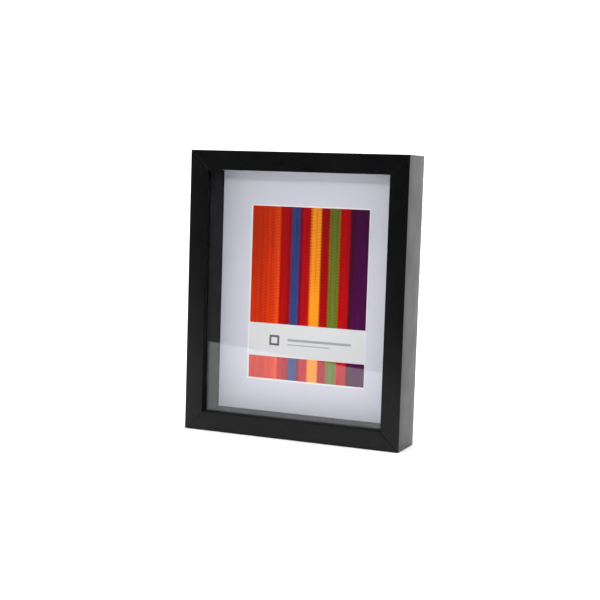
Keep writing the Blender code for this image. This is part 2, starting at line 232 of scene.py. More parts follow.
def matt_black_finish():
    """Matt black paint on the lip's inner edge, brushed along it."""
    finish, wire = new_finish("matt_black_edge")
    lay = wire.node("ShaderNodeAttribute", {"attribute_name": "lay"}, None, 1)
    streaks = mottle(wire, stretched(wire, lay, (90.0, 3200.0, 1.0)), 1.0, 4.0, 0.6)
    shader = wire.node("ShaderNodeBsdfPrincipled", None, {
        "Base Color": layered(streaks, (0.0022, 0.0022, 0.0026), (0.0052, 0.0052, 0.0060)),
        "Roughness": ramped(streaks, 0.3, 0.7, 0.74, 0.86),
        "Specular IOR Level": 0.08,
        "Normal": relief(streaks, 0.00002),
    })
    show(shader)
    return finish


rail_wall = 0.0115          # thickness of the moulding behind its lip
lip_depth = 0.005
rail_edge = 0.0005          # radius that the foil takes round an edge
lip_margin = 0.0006         # flat back of the lip beside its rounded edge
side_rings = (0.014, 0.012)  # rings across the flat outer side, in from the front and the rear
foil_lap = 0.0024           # foil turned over onto the back
foil_step = (0.00005, 0.00008)  # run and drop from the foil's cut edge to the bare board
mitre_play = 0.00002
mitre_ease = 0.00006        # depth of the fine groove that the foil leaves along a mitre

box_low = Vector((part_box("rail_left")[0].x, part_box("rail_left")[0].y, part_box("rail_bottom")[0].z))
box_high = Vector((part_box("rail_right")[1].x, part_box("rail_right")[1].y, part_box("rail_top")[1].z))
box_middle = (box_low + box_high) / 2
front, rear = box_low.y, box_high.y
face_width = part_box("rail_left")[1].x - box_low.x


def rail_profile():
    """The moulding's outline as (distance in from the outer face, y), and 1 where foil covers it.
    It starts and ends in the rabbet, goes round the face first, and back over the rear."""
    outline = np.vstack([
        [(rail_wall, front + lip_depth), (face_width - lip_margin, front + lip_depth)],
        arc((face_width - rail_edge / 2, front + lip_depth - rail_edge / 2), rail_edge / 2, 90, -90, 4),
        arc((face_width - rail_edge, front + rail_edge), rail_edge, 0, -90, 8),
        arc((rail_edge, front + rail_edge), rail_edge, -90, -90, 8),
        [(0, front + side_rings[0]), (0, rear - side_rings[1])],
        arc((rail_edge, rear - rail_edge), rail_edge, 180, -90, 8),
        [(foil_lap, rear), (foil_lap + foil_step[0], rear - foil_step[1]), (rail_wall, rear)],
    ])
    covered = np.ones(len(outline))
    covered[:2] = 0.0
    covered[-2:] = 0.0
    return outline, covered


def drawn_in(outline, depth):
    """Moves a closed outline inwards by a depth, along the mean normal of its two sides."""
    before = outline - np.roll(outline, 1, 0)
    after = np.roll(outline, -1, 0) - outline
    along = before / np.linalg.norm(before, axis=1)[:, None] + after / np.linalg.norm(after, axis=1)[:, None]
    along /= np.linalg.norm(along, axis=1)[:, None]
    return outline + depth * np.column_stack([along[:, 1], -along[:, 0]])


def moulding(length):
    """Carries the profile along X between two 45 degree cuts: at distance u in from the outer
    face, the rail ends at half its length less u. About the last 0.3 mm eases down to the mitre."""
    outline, covered = rail_profile()
    share = np.concatenate([[-1.0, -0.9975], np.linspace(-0.96, 0.96, 13), [0.9975, 1.0]])
    eased = drawn_in(outline, mitre_ease)
    profile = np.where((np.abs(share) == 1.0)[:, None, None], eased[None], outline[None])
    along = share[:, None] * (length / 2 - profile[:, :, 0] - mitre_play)
    grid = np.stack([along, profile[:, :, 1], profile[:, :, 0]], -1)
    steps = np.linalg.norm(np.diff(outline, axis=0), axis=1)
    around = np.concatenate([[0.0], np.cumsum(steps)])
    lay = np.stack([along, np.broadcast_to(around, along.shape), np.zeros_like(along)], -1)
    return grid, lay, np.broadcast_to(covered, along.shape)


def turned_about_y(grid, degrees, place):
    """Turns points about the Y axis and then moves them."""
    angle = math.radians(degrees)
    x = grid[..., 0] * math.cos(angle) + grid[..., 2] * math.sin(angle)
    z = grid[..., 2] * math.cos(angle) - grid[..., 0] * math.sin(angle)
    return np.stack([x + place[0], grid[..., 1] + place[1], z + place[2]], -1)


foil_finish, edge_finish = black_foil_finish(), matt_black_finish()
lip_columns = range(5, 13)  # the faces of the profile that make the lip's inner edge
width, height = box_high.x - box_low.x, box_high.z - box_low.z
rail_layout = {
    "bottom": (width, 0, (box_middle.x, 0, box_low.z)),
    "top": (width, 180, (box_middle.x, 0, box_high.z)),
    "left": (height, 90, (box_low.x, 0, box_middle.z)),
    "right": (height, -90, (box_high.x, 0, box_middle.z)),
}
for number, (side, (length, turn, place)) in enumerate(rail_layout.items()):
    grid, lay, covered = moulding(length)
    rail = solid("wrapped_rail_" + side, turned_about_y(grid, turn, place), [foil_finish, edge_finish],
                 masks={"lay": lay + (0.6 * number, 0, 0), "foil": covered}, second=lip_columns)
    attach(rail, "frame")
    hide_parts("rail_" + side)

# ---------------------------------------------------------------------------------------
# V nails: bent strips of spring steel, pressed across each glued mitre from behind until
# their edges are all but flush with the back of the rails.
# ---------------------------------------------------------------------------------------

def followed(path, thickness):
    """The closed outline of a strip: each point of an open path is moved half a thickness to
    both sides, square to the mean direction of its neighbours and longer where it bends."""
    ahead = np.diff(path, axis=0)
    ahead /= np.linalg.norm(ahead, axis=1)[:, None]
    incoming = np.vstack([ahead[:1], ahead])
    outgoing = np.vstack([ahead, ahead[-1:]])
    middle = incoming + outgoing
    middle /= np.linalg.norm(middle, axis=1)[:, None]
    reach = thickness / 2 / np.maximum((middle * outgoing).sum(1), 0.5)
    side = np.column_stack([-middle[:, 1], middle[:, 0]]) * reach[:, None]
    return np.vstack([path + side, (path - side)[::-1]])


def steel_finish(name, tint, roughness, brushed):
    """Plated steel: a soft mottled plating with fine drawn lines across X or along Z."""
    finish, wire = new_finish(name)
    point = wire.node("ShaderNodeTexCoord", None, None, 3)
    lines = mottle(wire, stretched(wire, point, (900.0, 4000.0, 5200.0)), 1.0, 3.0)
    cloud = mottle(wire, point, 420.0, 4.0, 0.6)
    dull = tuple(0.72 * channel for channel in tint)
    shader = wire.node("ShaderNodeBsdfPrincipled", None, {
        "Base Color": layered(ramped(cloud, 0.3, 0.75), dull, tint),
        "Metallic": 1.0,
        "Roughness": ramped(cloud, 0.25, 0.75, roughness * 0.75, roughness * 1.3),
        "Normal": relief(lines, 0.000012, brushed),
    })
    show(shader)
    return finish


nail_leg = 0.0062
nail_curl = 0.0008          # how far each leg's free end is turned
nail_sheet = 0.0005
nail_bend = 0.0005
nail_proud = 0.00006
nail_inset = 0.004          # from the outer faces to the bend
nail_finish = steel_finish("spring_steel", (0.36, 0.37, 0.39), 0.38, 0.6)
bend = arc((nail_bend, nail_bend), nail_bend, 270, -90, 5)
nail_path = np.vstack([[(nail_leg, nail_curl), (nail_leg - nail_curl, 0)], bend,
                       [(0, nail_leg - nail_curl), (nail_curl, nail_leg)]])
nail_outline = followed(nail_path, nail_sheet)
nail_corners = {"bottom_left": (1, 1, 0), "bottom_right": (-1, 1, -90),
                "top_right": (-1, -1, 180), "top_left": (1, -1, 90)}
for corner, (across, up, turn) in nail_corners.items():
    depths = np.array([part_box("v_nail_" + corner)[0].y, rear + nail_proud])
    outline = np.broadcast_to(nail_outline, (2, *nail_outline.shape))
    depth = np.broadcast_to(depths[:, None], outline.shape[:2])
    grid = np.stack([outline[..., 0], depth, outline[..., 1]], -1)
    place = (math.copysign(1, -across) * (width / 2 - nail_inset), 0,
             box_low.z + nail_inset if up > 0 else box_high.z - nail_inset)
    nail = solid("bent_v_nail_" + corner, turned_about_y(grid, turn, place), [nail_finish])
    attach(nail, "frame")
    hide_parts("v_nail_" + corner)

# ---------------------------------------------------------------------------------------
# Glass: one pane of 2 mm float glass, cut to size with its sharp edges rubbed down, that
# lies loose behind the lip. Seen on edge it is green.
# ---------------------------------------------------------------------------------------

def rectangle_loop(low, high, inset, corner, steps=5):
    """A rectangle's outline in X and Z, drawn in by an inset, with rounded corners."""
    radius = max(corner - inset, 0.00005)
    left, right = low.x + inset + radius, high.x - inset - radius
    bottom, top = low.z + inset + radius, high.z - inset - radius
    centres = [(right, top, 0), (left, top, 90), (left, bottom, 180), (right, bottom, 270)]
    return np.vstack([arc((x, z), radius, start, 90, steps) for x, z, start in centres])


def sheet_grid(low, high, edge, corner=0.0004):
    """A flat sheet with eased edges: the outline at four depths, drawn in at the two faces."""
    levels = [(low.y, edge), (low.y + edge, 0), (high.y - edge, 0), (high.y, edge)]
    rows = []
    for y, inset in levels:
        loop = rectangle_loop(low, high, inset, corner)
        rows.append(np.column_stack([loop[:, 0], np.full(len(loop), y), loop[:, 1]]))
    return np.stack(rows)


def clear_glass_finish():
    """A thin clear pane: it mirrors more the more it is seen aslant, by Schlick's rule, with a
    faint film of dust; the rest of the light goes straight through."""
    finish, wire = new_finish("clear_float_glass")
    point = wire.node("ShaderNodeTexCoord", None, None, 3)
    slant = wire.node("ShaderNodeLayerWeight", None, {"Blend": 0.5}, 1)
    film = mottle(wire, stretched(wire, point, (14.0, 14.0, 9.0)), 1.0, 6.0, 0.7)
    mirrored = (0.043 + 0.957 * slant ** 5.0) + ramped(film, 0.45, 0.85) * 0.004
    through = wire.node("ShaderNodeBsdfTransparent", None, {"Color": (0.985, 0.989, 0.990, 1.0)})
    shine = wire.node("ShaderNodeBsdfPrincipled", None, {
        "Base Color": (0.90, 0.91, 0.95, 1.0),
        "Metallic": 1.0,
        "Roughness": ramped(film, 0.4, 0.9, 0.012, 0.05),
    })
    show(wire.node("ShaderNodeMixShader", None, {0: mirrored, 1: through, 2: shine}))
    return finish


def glass_edge_finish():
    """A rubbed glass edge: the green of light that has come a long way through the pane, deeper
    and paler in turns along the cut, under a fine frosting."""
    finish, wire = new_finish("green_glass_edge")
    point = wire.node("ShaderNodeTexCoord", None, None, 3)
    depth = mottle(wire, stretched(wire, point, (70.0, 900.0, 70.0)), 1.0, 4.0, 0.6)
    frosting = mottle(wire, point, 3200.0, 3.0, 0.6)
    shader = wire.node("ShaderNodeBsdfPrincipled", None, {
        "Base Color": layered(ramped(depth, 0.3, 0.7), (0.055, 0.190, 0.135), (0.150, 0.360, 0.270)),
        "Roughness": ramped(frosting, 0.3, 0.7, 0.22, 0.42),
        "Normal": relief(frosting, 0.00002),
    })
    show(shader)
    return finish


glass_low, glass_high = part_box("glass_pane")
glass_ease = 0.0003
glass_corner = 0.001
pane_shape = sheet_grid(glass_low, glass_high, glass_ease, glass_corner)
pane = solid("cut_glass_pane", pane_shape, [clear_glass_finish(), glass_edge_finish()],
             second=range(pane_shape.shape[1]))
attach(pane, "glazing")
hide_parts("glass_pane")

# ---------------------------------------------------------------------------------------
# Lining: four fibreboard strips covered in dull black paper, butted at the corners. They
# stand between the glass and the mat and make the walls of the display space.
# ---------------------------------------------------------------------------------------

def lining_finish():
    """Dull black cover paper with a fine felt tooth and faint lighter scuffs."""
    finish, wire = new_finish("dull_black_paper")
    point = wire.node("ShaderNodeTexCoord", None, None, 3)
    tooth = mottle(wire, point, 2600.0, 4.0, 0.6)
    patches = mottle(wire, point, 60.0, 5.0, 0.6)
    shader = wire.node("ShaderNodeBsdfPrincipled", None, {
        "Base Color": layered(patches * 0.7 + tooth * 0.3,
                              (0.0030, 0.0031, 0.0038), (0.0072, 0.0074, 0.0084)),
        "Roughness": ramped(patches, 0.3, 0.7, 0.62, 0.72),
        "Specular IOR Level": 0.20,
        "Normal": relief(tooth, 0.00004),
    })
    show(shader)
    return finish


strip_edge = 0.0004
strip_corner = 0.0005
strip_finish = lining_finish()
for side in ("bottom", "top", "left", "right"):
    low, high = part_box("spacer_" + side)
    strip = solid("lining_strip_" + side, sheet_grid(low, high, strip_edge, strip_corner), [strip_finish])
    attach(strip, "lining")
    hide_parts("spacer_" + side)

# ---------------------------------------------------------------------------------------
# Mat: white mat board 1.5 mm thick, whose opening is cut with a 45 degree bevel that shows
# the brighter core. It rests on the lining's back edges.
# ---------------------------------------------------------------------------------------

window_width = 0.125
window_height = 0.175
window_drop = 0.0008
board_edge = 0.00012        # how far a cut edge of paper is pressed round

mat_low, mat_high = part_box("mat_board")
window_middle = Vector((box_middle.x, 0, box_middle.z - window_drop))
window_half = Vector((window_width / 2, 0, window_height / 2))
window_low, window_high = window_middle - window_half, window_middle + window_half


def mat_grid():
    """The mat's section as rectangular loops: its face, its square outer cut, its back and the
    bevel, which widens the opening towards the face by the mat's thickness. 1 marks the core."""
    thickness = mat_high.y - mat_low.y
    outer = [(mat_low.y, board_edge, 0), (mat_low.y + board_edge, 0, 1),
             (mat_high.y - board_edge, 0, 1), (mat_high.y, board_edge, 0)]
    inner = [(mat_high.y, -board_edge, 0), (mat_high.y - board_edge, -board_edge, 1),
             (mat_low.y + board_edge / 2, board_edge / 2 - thickness, 1),
             (mat_low.y, -thickness - board_edge, 0)]
    rows = []
    for y, inset, _ in outer:
        loop = rectangle_loop(mat_low, mat_high, inset, 0.0004)
        rows.append(np.column_stack([loop[:, 0], np.full(len(loop), y), loop[:, 1]]))
    for y, inset, _ in inner:
        loop = rectangle_loop(window_low, window_high, inset, 0.00025)
        rows.append(np.column_stack([loop[:, 0], np.full(len(loop), y), loop[:, 1]]))
    core = np.array([step[2] for step in outer + inner], float)
    grid = np.stack(rows)
    return grid, np.broadcast_to(core[:, None], grid.shape[:2])


def mat_finish():
    """White mat paper with a soft tooth and faint clouding; a brighter, smoother core."""
    finish, wire = new_finish("white_mat_paper")
    point = wire.node("ShaderNodeTexCoord", None, None, 3)
    core = wire.node("ShaderNodeAttribute", {"attribute_name": "core"}, None, 2)
    tooth = mottle(wire, point, 1500.0, 5.0, 0.6)
    cloud = mottle(wire, point, 35.0, 3.0)
    face = layered(cloud * 0.6 + tooth * 0.4, (0.690, 0.695, 0.780), (0.735, 0.738, 0.820))
    shader = wire.node("ShaderNodeBsdfPrincipled", None, {
        "Base Color": layered(core, face, (0.90, 0.90, 0.91)),
        "Roughness": ramped(tooth, 0.3, 0.7, 0.84, 0.94),
        "Specular IOR Level": 0.3,
        "Normal": relief(tooth, 0.00003, 0.6),
    })
    show(shader)
    return finish


grid, core = mat_grid()
mat = solid("bevel_cut_mat", grid, [mat_finish()], closed_rows=True, masks={"core": core})
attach(mat, "mat")
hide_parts("mat_board")

# ---------------------------------------------------------------------------------------
# Print: a sheet of coated paper behind the mat. It is printed with a striped hand-woven
# cloth above and below a white band, which carries a small plain frame sign and two bars.
# ---------------------------------------------------------------------------------------

def ink(red, green, blue):
    """An 8-bit screen colour as the linear colour that a shader takes."""
    return tuple((channel / 255.0) ** 2.2 for channel in (red, green, blue))


def between(value, low, high):
    """1 where a value lies between two limits, otherwise 0."""
    return (value > low) * (value < high)


cloth_stripes = [
    (0.000, ink(186, 46, 6)), (0.130, ink(198, 50, 8)), (0.205, ink(214, 66, 18)), (0.248, ink(164, 0, 0)),
    (0.315, ink(134, 4, 24)), (0.345, ink(48, 64, 116)), (0.412, ink(112, 6, 48)), (0.440, ink(168, 0, 8)),
    (0.512, ink(240, 140, 34)), (0.598, ink(150, 0, 0)), (0.672, ink(98, 108, 36)), (0.757, ink(168, 4, 4)),
    (0.800, ink(172, 0, 16)), (0.842, ink(70, 4, 40)), (0.885, ink(68, 8, 62)),
]
stripe_blur = 0.006
band_low, band_high = 0.130, 0.3225     # the white band, as shares of the opening's height
cord_pitch = 0.0054
stitch_pitch = 0.0031
# The plain sign and the bars on the band: left, right, low and high edges, as shares of the opening.
sign_edges = (0.175, 0.262, 0.196, 0.256)
sign_hole_edges = (0.192, 0.245, 0.208, 0.244)
upper_bar_edges = (0.335, 0.88, 0.226, 0.240)
lower_bar_edges = (0.335, 0.70, 0.203, 0.209)


def print_finish():
    """Printed cloth: upright cords of slanting stitches that lean one way and then the other,
    stripes whose edges waver with the stitches, then the white band and its sign. The cloth also
    carries painted light: it is made brighter towards the bottom of the opening."""
    finish, wire = new_finish("printed_striped_cloth")
    point = wire.node("ShaderNodeTexCoord", None, None, 3)
    split = wire.node("ShaderNodeSeparateXYZ", None, {0: point})
    z = split.other(2)
    across = (split - window_low.x) / window_width
    up = (z - window_low.z) / window_height

    cord = (split - window_low.x) / cord_pitch
    side = wire.sum_node("PINGPONG", cord, 0.5) * 2.0
    ridge = wire.sum_node("SINE", side * (math.pi / 2))
    lean = wire.sum_node("PINGPONG", wire.sum_node("FLOOR", cord), 1.0) * 2.0 - 1.0
    phase = z / stitch_pitch + lean * wire.sum_node("FRACT", cord) * 0.8
    stitch = wire.sum_node("SINE", phase * (2 * math.pi)) * 0.5 + 0.5
    fuzz = mottle(wire, stretched(wire, point, (1500.0, 1.0, 700.0)), 1.0, 5.0, 0.6)
    dye = mottle(wire, stretched(wire, point, (260.0, 1.0, 20.0)), 1.0, 4.0, 0.6)
    waver = (stitch - 0.5) * 0.010 + (fuzz - 0.5) * 0.012
    starts = [start for start, _ in cloth_stripes]
    ends = starts[1:] + [1.0 + 2 * stripe_blur]
    stops = [(place, colour) for (start, colour), end in zip(cloth_stripes, ends)
             for place in (min(start + stripe_blur, 1.0), min(end - stripe_blur, 1.0))]
    cloth = wire.node("ShaderNodeValToRGB", {"stops": stops}, {0: across + waver})
    light = ramped(stitch, 0.0, 1.0, 0.89, 1.07) * ramped(ridge, 0.0, 0.55, 0.84, 1.03)
    # Painted light: the last factor makes the cloth half as bright again at the bottom of the opening and
    # fades towards its top.
    light = light * ramped(dye, 0.25, 0.75, 0.86, 1.12) * ramped(up, 0.0, 0.9, 1.50, 1.07)
    shaded = wire.node("ShaderNodeVectorMath", {"operation": "SCALE"}, {0: cloth, "Scale": light})

    band = between(up, band_low, band_high)
    paper = layered(fuzz, (0.76, 0.76, 0.765), (0.82, 0.82, 0.825))
    sign, sign_hole, upper_bar, lower_bar = [
        between(across, left, right) * between(up, low, high)
        for left, right, low, high in (sign_edges, sign_hole_edges, upper_bar_edges, lower_bar_edges)]
    bars = upper_bar + lower_bar
    marked = layered(sign * (1.0 - sign_hole), paper, ink(104, 100, 102))
    marked = layered(bars, marked, ink(172, 172, 172))
    shader = wire.node("ShaderNodeBsdfPrincipled", None, {
        "Base Color": layered(band, shaded, marked),
        "Roughness": ramped(fuzz, 0.3, 0.7, 0.52, 0.64),
        "Specular IOR Level": 0.06,
        "Normal": relief(fuzz, 0.00001, 0.4),
    })
    show(shader)
    return finish


paper_edge = 0.00008
sheet_low, sheet_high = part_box("insert_print")
sheet = solid("printed_insert_sheet", sheet_grid(sheet_low, sheet_high, paper_edge), [print_finish()])
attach(sheet, "print")
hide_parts("insert_print")

# ---------------------------------------------------------------------------------------
# Filler: one sheet of plain grey card, 1.2 mm thick, between the print and the back board.
# It takes up the slack and keeps the print flat. Its cut edges show the pressed plies.
# ---------------------------------------------------------------------------------------

card_plies = 5


def card_finish(low, high):
    """Recycled grey card: short fibres each way, scattered dark and light flecks, and plies
    that show as fine lines on the cut edges."""
    finish, wire = new_finish("recycled_grey_card")
    point = wire.node("ShaderNodeTexCoord", None, None, 3)
    fibres = mottle(wire, stretched(wire, point, (1900.0, 1900.0, 500.0)), 1.0, 6.0, 0.65)
    flecks = ramped(mottle(wire, point, 800.0, 2.0), 0.64, 0.72)
    pale_flecks = ramped(mottle(wire, stretched(wire, point, (500.0, 500.0, 900.0)), 1.0, 3.0), 0.66, 0.74)
    depth = (wire.node("ShaderNodeSeparateXYZ", None, {0: point}, 1) - low.y) / (high.y - low.y)
    plies = wire.sum_node("SINE", depth * (2 * math.pi * card_plies)) * 0.5 + 0.5
    ground = layered(fibres * 0.8 + plies * 0.2, (0.250, 0.240, 0.222), (0.370, 0.358, 0.335))
    flecked = layered(flecks * 0.7, ground, (0.10, 0.095, 0.09))
    shader = wire.node("ShaderNodeBsdfPrincipled", None, {
        "Base Color": layered(pale_flecks * 0.6, flecked, (0.56, 0.54, 0.50)),
        "Roughness": ramped(fibres, 0.3, 0.7, 0.84, 0.95),
        "Specular IOR Level": 0.25,
        "Normal": relief(fibres * 0.7 + plies * 0.3, 0.00005, 0.7),
    })
    show(shader)
    return finish


card_low, card_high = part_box("filler_card")
card = solid("filler_card_sheet", sheet_grid(card_low, card_high, board_edge),
             [card_finish(card_low, card_high)])
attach(card, "filler")
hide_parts("filler_card")

# ---------------------------------------------------------------------------------------
# Back board: 2.5 mm hardboard, sawn to size, with a smooth brown face outside. It is drilled
# for the hanger rivets, whose rolled ends lie in counterbores on its inner face.
# ---------------------------------------------------------------------------------------

def hardboard_finish():
    """Pressed wood fibre: short pale and dark hairs in a brown ground, slightly polished."""
    finish, wire = new_finish("smooth_hardboard")
    point = wire.node("ShaderNodeTexCoord", None, None, 3)
    ground = mottle(wire, point, 90.0, 5.0, 0.6)
    flat_hairs = mottle(wire, stretched(wire, point, (2400.0, 1500.0, 420.0)), 1.0, 3.0, 0.6)
    cross_hairs = mottle(wire, stretched(wire, point, (460.0, 1500.0, 2500.0)), 1.0, 3.0, 0.6)
    pale = ramped(flat_hairs, 0.58, 0.72) * 0.55
    dark = ramped(cross_hairs, 0.60, 0.74) * 0.6
    brown = layered(ground, (0.150, 0.082, 0.042), (0.235, 0.140, 0.078))
    haired = layered(dark, layered(pale, brown, (0.36, 0.25, 0.155)), (0.075, 0.042, 0.024))
    shader = wire.node("ShaderNodeBsdfPrincipled", None, {
        "Base Color": haired,
        "Roughness": ramped(ground, 0.3, 0.7, 0.52, 0.68),
        "Specular IOR Level": 0.4,
        "Normal": relief(flat_hairs * 0.5 + cross_hairs * 0.5, 0.00004, 0.8),
    })
    show(shader)
    return finish


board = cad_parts["back_board"]
board.data.materials.clear()
board.data.materials.append(hardboard_finish())

# ---------------------------------------------------------------------------------------
# Turn buttons: zinc-plated steel pressings with a round tail and a raised tip. Each turns
# on its screw; turned in, its tip holds the back board down.
# ---------------------------------------------------------------------------------------

button_tail = 0.004
button_tip = 0.0022
button_reach = 0.014
button_sheet = 0.0007
button_lift = 0.00028       # how far the tip is pressed up for a fingernail
button_hole = 0.0016
button_boss = 0.0011        # width of the flat raised round the hole
button_rise = (0.0075, 0.005)   # where the rise to the tip starts, and how long it is
button_clearance = 0.0003
tip_turn = 0.35             # half the angle over which the rim's points are set closer


def button_radius(angle):
    """Distance from the pivot to the rim of two discs joined by tangents: the tail's radius
    behind, the tip's disc ahead, and between them the tangent line."""
    centre = button_reach - button_tip
    tangent = math.acos((button_tail - button_tip) / centre)
    tip_angle = math.atan2(button_tip * math.sin(tangent), centre + button_tip * math.cos(tangent))
    turn = np.abs((angle + np.pi) % (2 * np.pi) - np.pi)
    inside = np.maximum(button_tip ** 2 - (centre * np.sin(turn)) ** 2, 0)
    tip = centre * np.cos(turn) + np.sqrt(inside)
    line = button_tail / np.cos(turn - tangent)
    return np.where(turn >= tangent, button_tail, np.where(turn <= tip_angle, tip, line))


def button_grid():
    """Rings round the pivot hole: up its wall, over a raised boss and the plate, round the rim
    and back underneath. Towards the tip the plate rises by a smooth step."""
    ahead = np.linspace(-tip_turn, tip_turn, 41)
    behind = np.linspace(tip_turn, 2 * np.pi - tip_turn, 56)[1:-1]
    angle = np.concatenate([ahead, behind])
    rim = button_radius(angle)
    top, round_off = button_sheet, 0.00016
    boss = button_hole + button_boss
    rings = [(button_hole, 0, 0.0), (button_hole, 0, top * 0.8), (button_hole + 0.00012, 0, top),
             (boss, 0, top + 0.00002), (boss + 0.0003, 0, top - 0.00014), (0, -0.0011, top - 0.00014),
             (0, -0.0008, top), (0, -2.6 * round_off, top), (0, -1.0 * round_off, top - 0.2 * round_off),
             (0, -0.2 * round_off, top - round_off), (0, 0, top / 2), (0, -0.2 * round_off, round_off),
             (0, -1.0 * round_off, 0.2 * round_off), (0, -2.6 * round_off, 0.0), (boss, 0, 0.0)]
    radius = np.stack([np.full_like(rim, fixed) if fixed else rim + inset for fixed, inset, _ in rings])
    raised = np.array([height for _, _, height in rings])[:, None]
    x, z = radius * np.cos(angle), radius * np.sin(angle)
    share = np.clip((x - button_rise[0]) / button_rise[1], 0, 1)
    lift = button_lift * share ** 2 * (3 - 2 * share)
    return np.stack([x, raised + lift, z], -1)


button_turns = {"left_upper": 90, "left_lower": 90, "right_upper": 90, "right_lower": 90,
                "top": 0, "bottom": 0}
button_finish = steel_finish("zinc_plated_button", (0.43, 0.425, 0.40), 0.34, 1.0)
pivots = {}
for name, turn in button_turns.items():
    low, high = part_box("pivot_screw_" + name)
    pivots[name] = ((low.x + high.x) / 2, rear, (low.z + high.z) / 2)
    place = (pivots[name][0], rear + button_clearance, pivots[name][2])
    button = solid("pressed_turn_button_" + name, turned_about_y(button_grid(), turn, place),
                   [button_finish], closed_rows=True, sharp=40.0)
    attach(button, "button_" + name)
    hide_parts("turn_button_" + name)

# ---------------------------------------------------------------------------------------
# Pivot screws: small pan-head screws with a cross recess, driven into the back of the rails
# until their heads just let the turn buttons turn.
# ---------------------------------------------------------------------------------------

head_radius = 0.00275
head_bottom = button_clearance + button_sheet + 0.0003
head_top = 0.0032
head_dome = 0.0007          # fall of the dome from the middle to the rim
head_rim = 0.0003
recess_half_width = 0.00036
recess_half_span = 0.00150
recess_depth = 0.0009
shank_radius = 0.00125
screw_tip = -0.0109         # depth of the point below the back of the rails


def screw_grid():
    """Circles about the axis: over the domed head, whose cross recess is two smooth-walled bars
    that meet in the middle, under its rim and down the shank to the point."""
    angle = np.linspace(0, 2 * np.pi, 97)[:-1]
    span = np.linspace(0.00004, 0.93, 26)
    bead = arc((0.90, 0.0), 0.10, 60, -60, 5)
    radius = head_radius * np.concatenate([span, bead[:, 0]])
    dome = head_top - head_dome * span ** 2.6
    rim = dome[-1] - head_rim * (1 - bead[:, 1] / bead[0, 1])
    x, z = radius[:, None] * np.cos(angle), radius[:, None] * np.sin(angle)

    def bar(one, other):
        wall = 1 / (1 + np.exp((np.abs(one) - recess_half_width) / 0.00003))
        end = 1 / (1 + np.exp((np.abs(other) - recess_half_span) / 0.00008))
        return wall * end * (1 - 0.45 * np.abs(other) / recess_half_span)

    height = np.concatenate([dome, rim])[:, None] - recess_depth * np.maximum(bar(x, z), bar(z, x))
    head = np.stack([x, height, z], -1)
    shank = [(head_radius, head_bottom), (shank_radius, head_bottom),
             (shank_radius, screw_tip + 2 * shank_radius), (0.00005, screw_tip)]
    lower = np.stack([np.stack([r * np.cos(angle), np.full_like(angle, y), r * np.sin(angle)], -1)
                      for r, y in shank])
    return np.concatenate([head, lower])


screw_finish = steel_finish("zinc_plated_screw", (0.47, 0.465, 0.445), 0.26, 0.5)
for number, (name, pivot) in enumerate(pivots.items()):
    screw = solid("cross_head_screw_" + name, turned_about_y(screw_grid(), 25 * number + 8, pivot),
                  [screw_finish], sharp=38.0)
    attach(screw, "frame")
    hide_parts("pivot_screw_" + name)

# ---------------------------------------------------------------------------------------
# Hangers: a nickel-plated strap folded round the base of a triangle of bent wire, with one
# rivet through both leaves and the board. One hangs the box upright, the other on its side.
# ---------------------------------------------------------------------------------------

wire_radius = 0.0008
ring_base = 0.022
ring_height = 0.0148
ring_corner = 0.0022
ring_lean = 12.0
strap_width = 0.009
strap_sheet = 0.0005
strap_bend = 0.00135        # radius of the loop at the middle of the sheet
strap_lower_end = 0.013
strap_upper_end = 0.0122
strap_gap = 0.0003
strap_corner = 0.0026
rivet_place = 0.0095
rivet_radius = 0.0015
rivet_head = 0.0023
rivet_roll = 0.0005         # thickness of the rolled end inside the board
rivet_press = 0.00025       # how far the head is pressed into the strap
rivet_rim = 0.0001
rivet_dome = 0.00075


def strap_grid():
    """Stations across the width of a folded sheet: lower leaf, loop round the wire, upper leaf.
    The leaves' free corners are rounded: each end draws back near the sides by a circle."""
    lower = -strap_bend
    upper = lower + strap_sheet + strap_gap
    loop = arc((0, 0), strap_bend, 180, -220, 34)
    fall = (loop[-1, 0] - upper) / math.tan(math.radians(40))
    upper_leaf = [(upper, loop[-1, 1] - fall), (upper, -strap_upper_end)]
    path = np.vstack([[(lower, -strap_lower_end)], loop, upper_leaf])
    outline = followed(path, strap_sheet)
    half, ease = strap_width / 2, 0.00008
    inner = half * np.sin(np.linspace(-1.35, 1.35, 15))
    stations = np.concatenate([[-half, ease - half], inner, [half - ease, half]])
    at_side = (np.abs(stations) == half)[:, None, None]
    profile = np.where(at_side, drawn_in(outline, ease)[None], outline[None])
    past = np.maximum(np.abs(stations) - (half - strap_corner), 0)
    back = (strap_corner - np.sqrt(strap_corner ** 2 - past ** 2))[:, None]
    end = np.where(profile[:, :, 0] < (lower + upper) / 2, -strap_lower_end, -strap_upper_end) + back
    along = np.maximum(profile[:, :, 1], end)
    return np.stack([np.broadcast_to(stations[:, None], along.shape), profile[:, :, 0], along], -1)


def turned_grid(profile, steps=48):
    """A profile of (radius, y) turned about the Y axis."""
    angle = np.linspace(0, 2 * np.pi, steps + 1)[:-1]
    radius = profile[:, 0][:, None]
    level = np.broadcast_to(profile[:, 1][:, None], (len(profile), steps))
    return np.stack([radius * np.cos(angle), level, radius * np.sin(angle)], -1)


